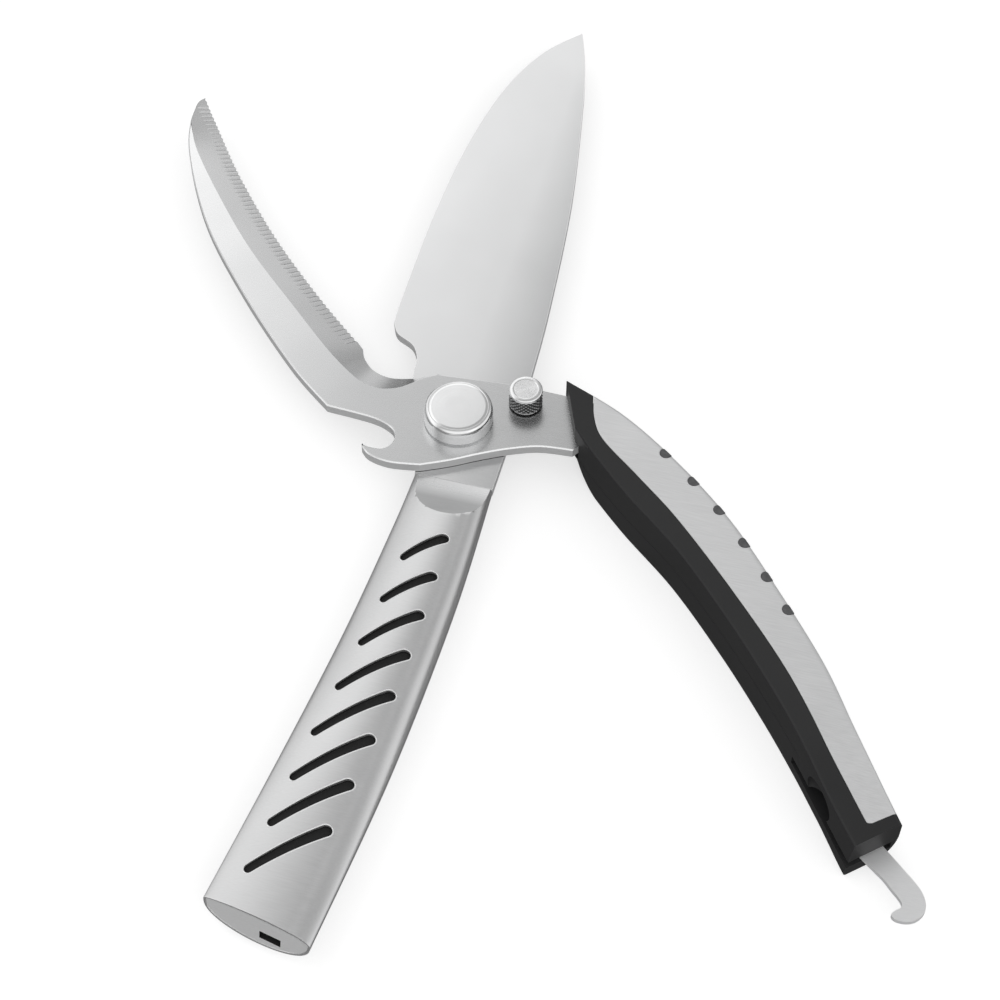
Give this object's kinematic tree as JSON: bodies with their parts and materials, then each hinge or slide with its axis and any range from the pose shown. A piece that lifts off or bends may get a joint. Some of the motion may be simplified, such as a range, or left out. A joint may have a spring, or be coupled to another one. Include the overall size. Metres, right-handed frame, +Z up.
{
  "type": "poultry shears",
  "caption": "Heavy poultry shears: one arm a chef's knife with a hollow steel handle, the other a curved toothed blade with a bottle opener, lock knob and latch.",
  "frame": {"origin": "pivot axis at the flat underside of the pivot nut, level with the undersides of both handles", "axes": "+Y along the knife arm towards its tip; +Z up through the pivot head; +X to the side of the knife spine"},
  "size_m": [0.225, 0.2778, 0.017],
  "materials": {
    "satin_blade": "fine satin ground",
    "satin_plate": "satin brushed",
    "shell_steel": "satin, brushed along its length",
    "polished_steel": "polished, turned",
    "silver_cover": "satin silver",
    "black_plastic": "fine satin moulded",
    "stud_rubber": "matt",
    "spring_steel": "plain"
  },
  "bodies": {
    "knife_arm": {"knife_blade": "satin_blade", "handle_shell": "shell_steel", "handle_core": "black_plastic", "handle_end_cap": "satin_plate", "pivot_bolt": "polished_steel", "pivot_wave_washer": "spring_steel", "pivot_washer": "spring_steel", "pivot_nut": "polished_steel"},
    "cutting_arm": {"cutting_blade": "satin_plate", "handle_upper_shell": "black_plastic", "handle_lower_shell": "black_plastic", "handle_cover": "silver_cover", "grip_stud_1": "stud_rubber", "grip_stud_2": "stud_rubber", "grip_stud_3": "stud_rubber", "grip_stud_4": "stud_rubber", "grip_stud_5": "stud_rubber", "grip_stud_6": "stud_rubber", "handle_screw_front": "spring_steel", "handle_screw_middle": "spring_steel", "handle_screw_rear": "spring_steel", "latch_pin": "spring_steel", "plunger_barrel": "polished_steel", "plunger_spring": "spring_steel"},
    "plunger": {"lock_knob": "polished_steel", "plunger_pin": "spring_steel"},
    "latch": {"latch_hook": "satin_plate"}
  },
  "joints": [
    {"name": "pivot", "type": "hinge", "parent": "knife_arm", "child": "cutting_arm", "pos_m": [0, 0, 0.009], "axis": [0, 0, 1], "range_deg": [-46.5, 0]},
    {"name": "lock_plunger", "type": "slide", "parent": "cutting_arm", "child": "plunger", "axis": [0, 0, 1], "range_m": [0, 0.0025], "stiffness_N_per_m": 300, "springref_m": -0.003, "deforming": ["plunger_spring"]},
    {"name": "latch_pivot", "type": "hinge", "parent": "cutting_arm", "child": "latch", "pos_m": [0.1124, -0.0812, 0.0045], "axis": [0, 0, 1], "range_deg": [-185, 0]}
  ]
}
